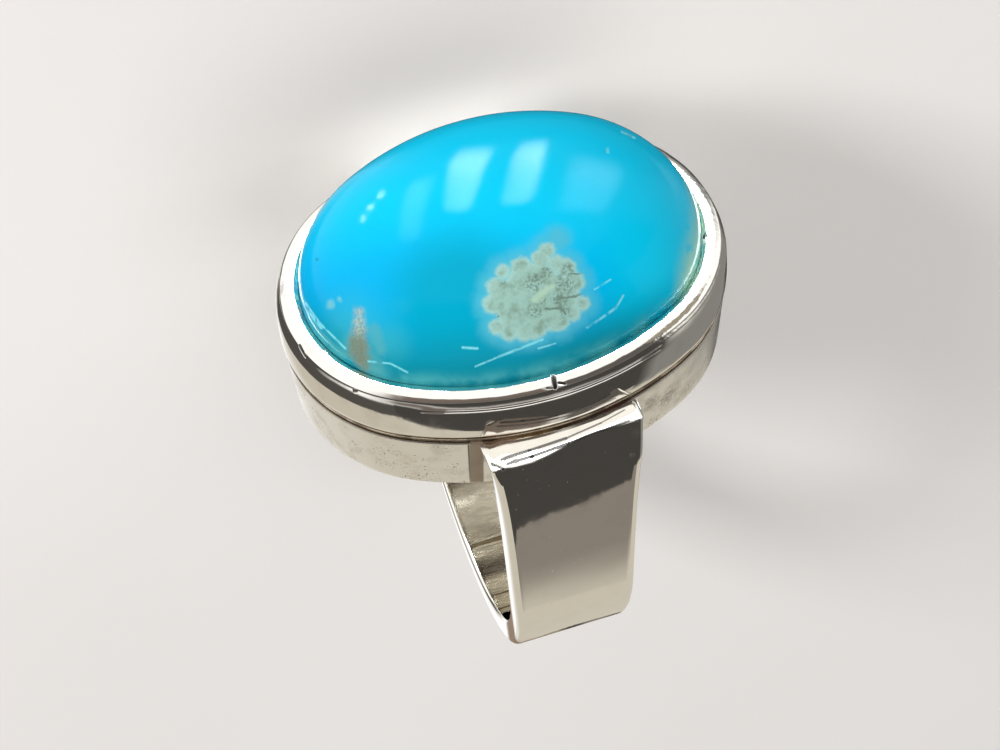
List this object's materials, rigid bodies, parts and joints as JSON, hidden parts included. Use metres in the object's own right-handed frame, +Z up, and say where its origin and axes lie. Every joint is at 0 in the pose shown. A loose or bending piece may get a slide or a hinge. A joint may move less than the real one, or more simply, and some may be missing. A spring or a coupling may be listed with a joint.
{
  "type": "turquoise ring",
  "caption": "Silver ring with a high domed oval turquoise cabochon in a two-tier bezel setting on a wide, flat, tapering band, lying on its side.",
  "frame": {"origin": "centre of the bounding box's floor, with the ring lying on its side, on the flat face of one leg", "axes": "+Z up; -Y towards the side the stone faces; +X along the level finger hole"},
  "size_m": [0.0242, 0.0336, 0.0219],
  "materials": {
    "silver": "hand-polished silver with light scratches, warm tarnish in the seam and satin gallery wall",
    "turquoise": "high gloss polish with a pale matrix patch and a tan streak"
  },
  "bodies": {
    "root": {"silver_mount": "silver", "cabochon": "turquoise"}
  },
  "joints": []
}
